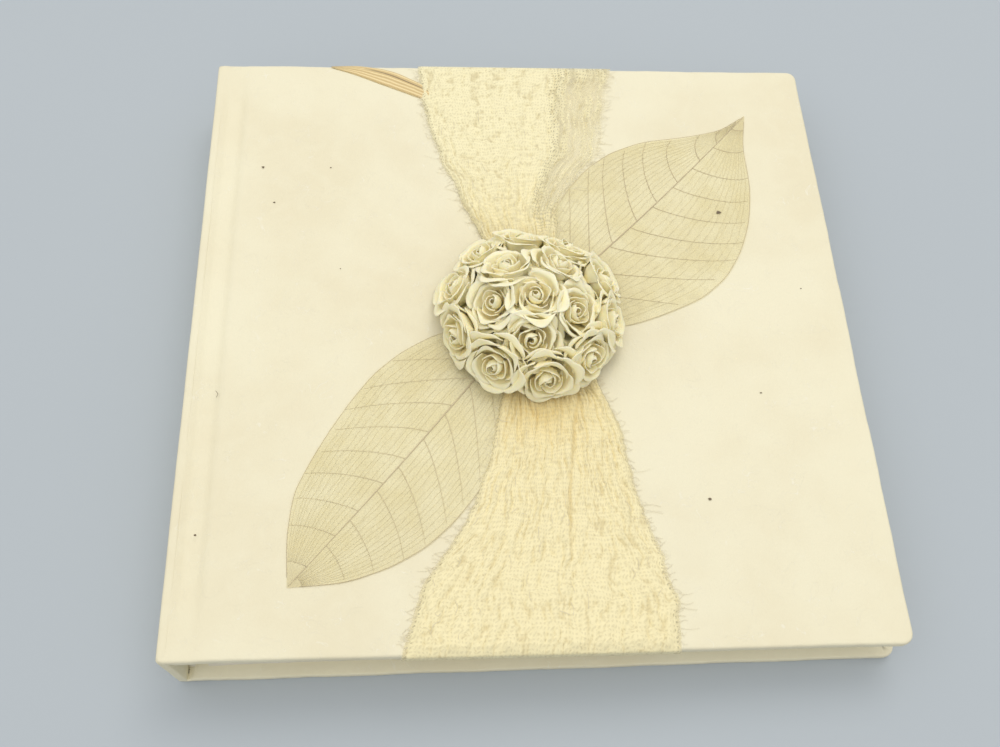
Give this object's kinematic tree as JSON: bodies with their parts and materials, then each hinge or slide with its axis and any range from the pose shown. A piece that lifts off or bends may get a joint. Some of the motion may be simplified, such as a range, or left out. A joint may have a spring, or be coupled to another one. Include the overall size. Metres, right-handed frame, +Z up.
{
  "type": "wedding guest book",
  "caption": "Square case-bound guest book in cream handmade paper, with a gauze sash, skeleton leaves and a bouquet of paper roses on a front cover that opens with its leaves.",
  "frame": {"origin": "bottom centre of the closed book, on the outer face of the back cover", "axes": "+X from the spine to the fore-edge, +Y from the tail to the head, +Z up, out of the front cover"},
  "size_m": [0.22, 0.2214, 0.0505],
  "materials": {
    "cover_paper": "matt handmade mulberry paper, soft and fibrous, slightly wavy",
    "board": "grey millboard",
    "endpaper": "matt handmade paper with fine fibres",
    "leaf_paper": "matt handmade paper with soft uneven edges",
    "mull": "starched open cotton weave",
    "thread": "waxed linen thread",
    "gauze": "crinkled loose cotton gauze with frayed edges",
    "raffia": "dry palm fibre, streaked",
    "skeleton_leaf": "bleached leaf skeleton, translucent, veined",
    "rose_paper": "dyed mulberry paper petals, matt, paler at the rims",
    "foam": "cut foam"
  },
  "bodies": {
    "case": {"back_board": "board", "back_cover_paper": "cover_paper", "back_flyleaf": "endpaper", "back_pastedown": "endpaper", "sewing_thread": "thread", "spine_board": "board", "spine_lining": "mull", "spine_paper": "cover_paper"},
    "front_cover": {"front_board": "board", "front_cover_paper": "cover_paper", "front_pastedown": "endpaper", "gauze_sash": "gauze", "lower_skeleton_leaf": "skeleton_leaf", "raffia_strand": "raffia", "upper_skeleton_leaf": "skeleton_leaf", "rose_apex": "rose_paper", "rose_dome": "foam", "rose_inner_01": "rose_paper", "rose_inner_02": "rose_paper", "rose_inner_03": "rose_paper", "rose_inner_04": "rose_paper", "rose_inner_05": "rose_paper", "rose_outer_01": "rose_paper", "rose_outer_02": "rose_paper", "rose_outer_03": "rose_paper", "rose_outer_04": "rose_paper", "rose_outer_05": "rose_paper", "rose_outer_06": "rose_paper", "rose_outer_07": "rose_paper", "rose_outer_08": "rose_paper", "rose_outer_09": "rose_paper", "rose_outer_10": "rose_paper"},
    "flyleaf": {"front_flyleaf": "endpaper"},
    "section_1": {"section_1": "leaf_paper"},
    "section_2": {"section_2": "leaf_paper"},
    "section_3": {"section_3": "leaf_paper"},
    "section_4": {"section_4": "leaf_paper"},
    "section_5": {"section_5": "leaf_paper"}
  },
  "joints": [
    {"name": "front_cover_hinge", "type": "hinge", "parent": "case", "child": "front_cover", "pos_m": [-0.1065, 0, 0.029], "axis": [0, -1, 0], "range_deg": [0, 178]},
    {"name": "flyleaf_turn", "type": "hinge", "parent": "case", "child": "flyleaf", "pos_m": [-0.1065, 0, 0.029], "axis": [0, -1, 0], "range_deg": [0, 175.33]},
    {"name": "section_1_turn", "type": "hinge", "parent": "case", "child": "section_1", "pos_m": [-0.1065, 0, 0.029], "axis": [0, -1, 0], "range_deg": [0, 171.77]},
    {"name": "section_2_turn", "type": "hinge", "parent": "case", "child": "section_2", "pos_m": [-0.1065, 0, 0.029], "axis": [0, -1, 0], "range_deg": [0, 166.43]},
    {"name": "section_3_turn", "type": "hinge", "parent": "case", "child": "section_3", "pos_m": [-0.1065, 0, 0.029], "axis": [0, -1, 0], "range_deg": [0, 11.57]},
    {"name": "section_4_turn", "type": "hinge", "parent": "case", "child": "section_4", "pos_m": [-0.1065, 0, 0.029], "axis": [0, -1, 0], "range_deg": [0, 5.34]},
    {"name": "section_5_turn", "type": "hinge", "parent": "case", "child": "section_5", "pos_m": [-0.1065, 0, 0.029], "axis": [0, -1, 0], "range_deg": [0, 2.14]}
  ],
  "couplings": [
    {"joint": "flyleaf_turn", "follows": "front_cover_hinge", "ratio": 0.985},
    {"joint": "section_1_turn", "follows": "front_cover_hinge", "ratio": 0.965},
    {"joint": "section_2_turn", "follows": "front_cover_hinge", "ratio": 0.935},
    {"joint": "section_3_turn", "follows": "front_cover_hinge", "ratio": 0.065},
    {"joint": "section_4_turn", "follows": "front_cover_hinge", "ratio": 0.03},
    {"joint": "section_5_turn", "follows": "front_cover_hinge", "ratio": 0.012}
  ]
}
